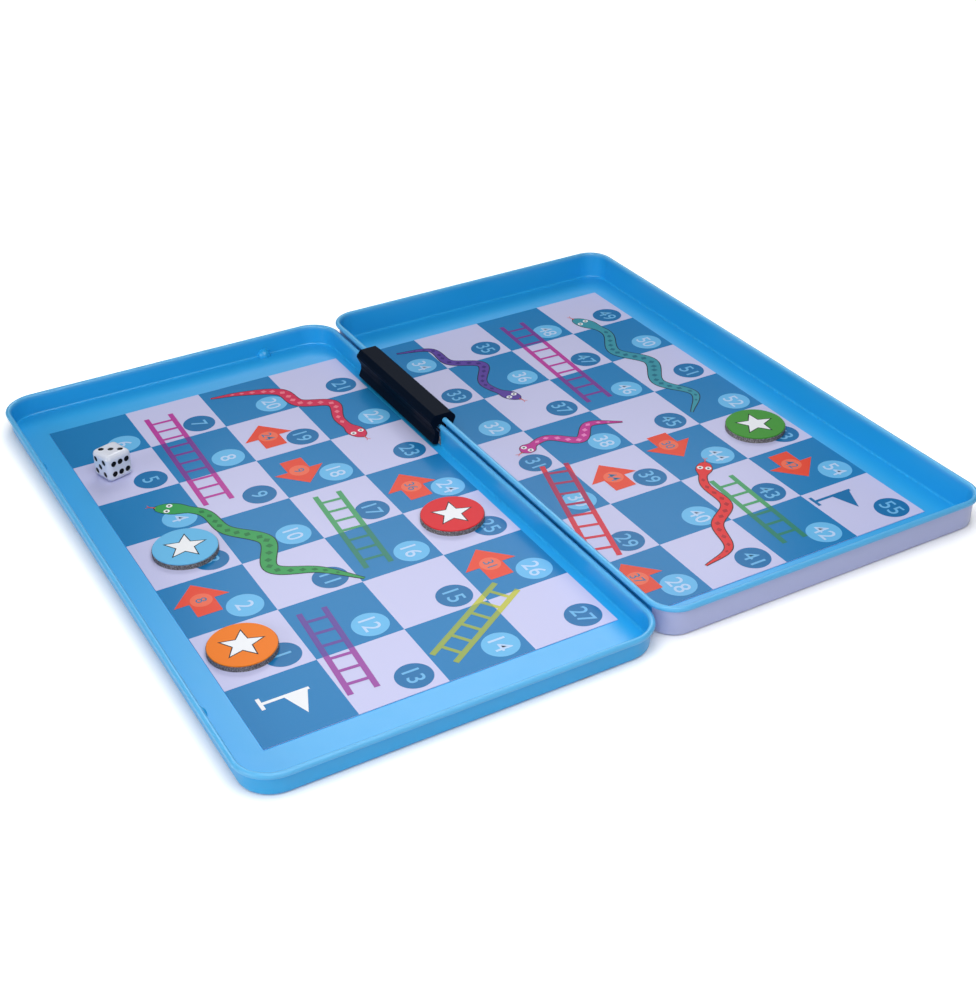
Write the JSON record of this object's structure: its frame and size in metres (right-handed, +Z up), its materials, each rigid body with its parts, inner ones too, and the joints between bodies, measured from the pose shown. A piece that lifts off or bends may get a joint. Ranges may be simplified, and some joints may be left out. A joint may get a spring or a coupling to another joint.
{
  "type": "travel board game tin",
  "caption": "Slim hinged tin opened flat, with a snakes and ladders board printed across both halves, round magnetic tokens and a die",
  "frame": {"origin": "middle of the open game, at the height of the table", "axes": "+X across the hinge from the lid to the base, +Y along the hinge from the near edge to the far edge, +Z up"},
  "size_m": [0.2172, 0.2014, 0.0108],
  "materials": {
    "base_tray": "gloss paint on tinplate, pale outside and blue inside",
    "lid_tray": "gloss blue paint on tinplate",
    "board_print": "gloss printed sheet with blue and pale squares",
    "hinge_clip": "satin black moulding",
    "magnet_rubber": "matt grey magnet rubber",
    "die": "polished white",
    "die_pips": "black paint",
    "token_face_orange": "gloss orange print",
    "token_face_blue": "gloss blue print",
    "token_face_red": "gloss red print",
    "token_face_green": "gloss green print"
  },
  "bodies": {
    "base": {"base_tray": "base_tray", "base_board": "board_print", "hinge_clip": "hinge_clip"},
    "lid": {"lid_tray": "lid_tray", "lid_board": "board_print"},
    "token_orange": {"token_magnet_orange": "magnet_rubber", "token_face_orange": "token_face_orange"},
    "token_blue": {"token_magnet_blue": "magnet_rubber", "token_face_blue": "token_face_blue"},
    "token_red": {"token_magnet_red": "magnet_rubber", "token_face_red": "token_face_red"},
    "token_green": {"token_magnet_green": "magnet_rubber", "token_face_green": "token_face_green"},
    "die": {"die": "die", "die_pips": "die_pips"}
  },
  "joints": [
    {"name": "lid_fold", "type": "hinge", "parent": "base", "child": "lid", "pos_m": [0.00093, 0.0415, 0.00624], "axis": [0, 1, 0], "range_deg": [0, 180]},
    {"name": "token_orange_lift", "type": "slide", "parent": "lid", "child": "token_orange", "axis": [0, 0, 1], "range_m": [0, 0.006]},
    {"name": "token_blue_lift", "type": "slide", "parent": "lid", "child": "token_blue", "axis": [0, 0, 1], "range_m": [0, 0.006]},
    {"name": "token_red_lift", "type": "slide", "parent": "lid", "child": "token_red", "axis": [0, 0, 1], "range_m": [0, 0.006]},
    {"name": "token_green_lift", "type": "slide", "parent": "base", "child": "token_green", "axis": [0, 0, 1], "range_m": [0, 0.006]},
    {"name": "die_lift", "type": "slide", "parent": "lid", "child": "die", "axis": [0, 0, 1], "range_m": [0, 0.0025]}
  ]
}
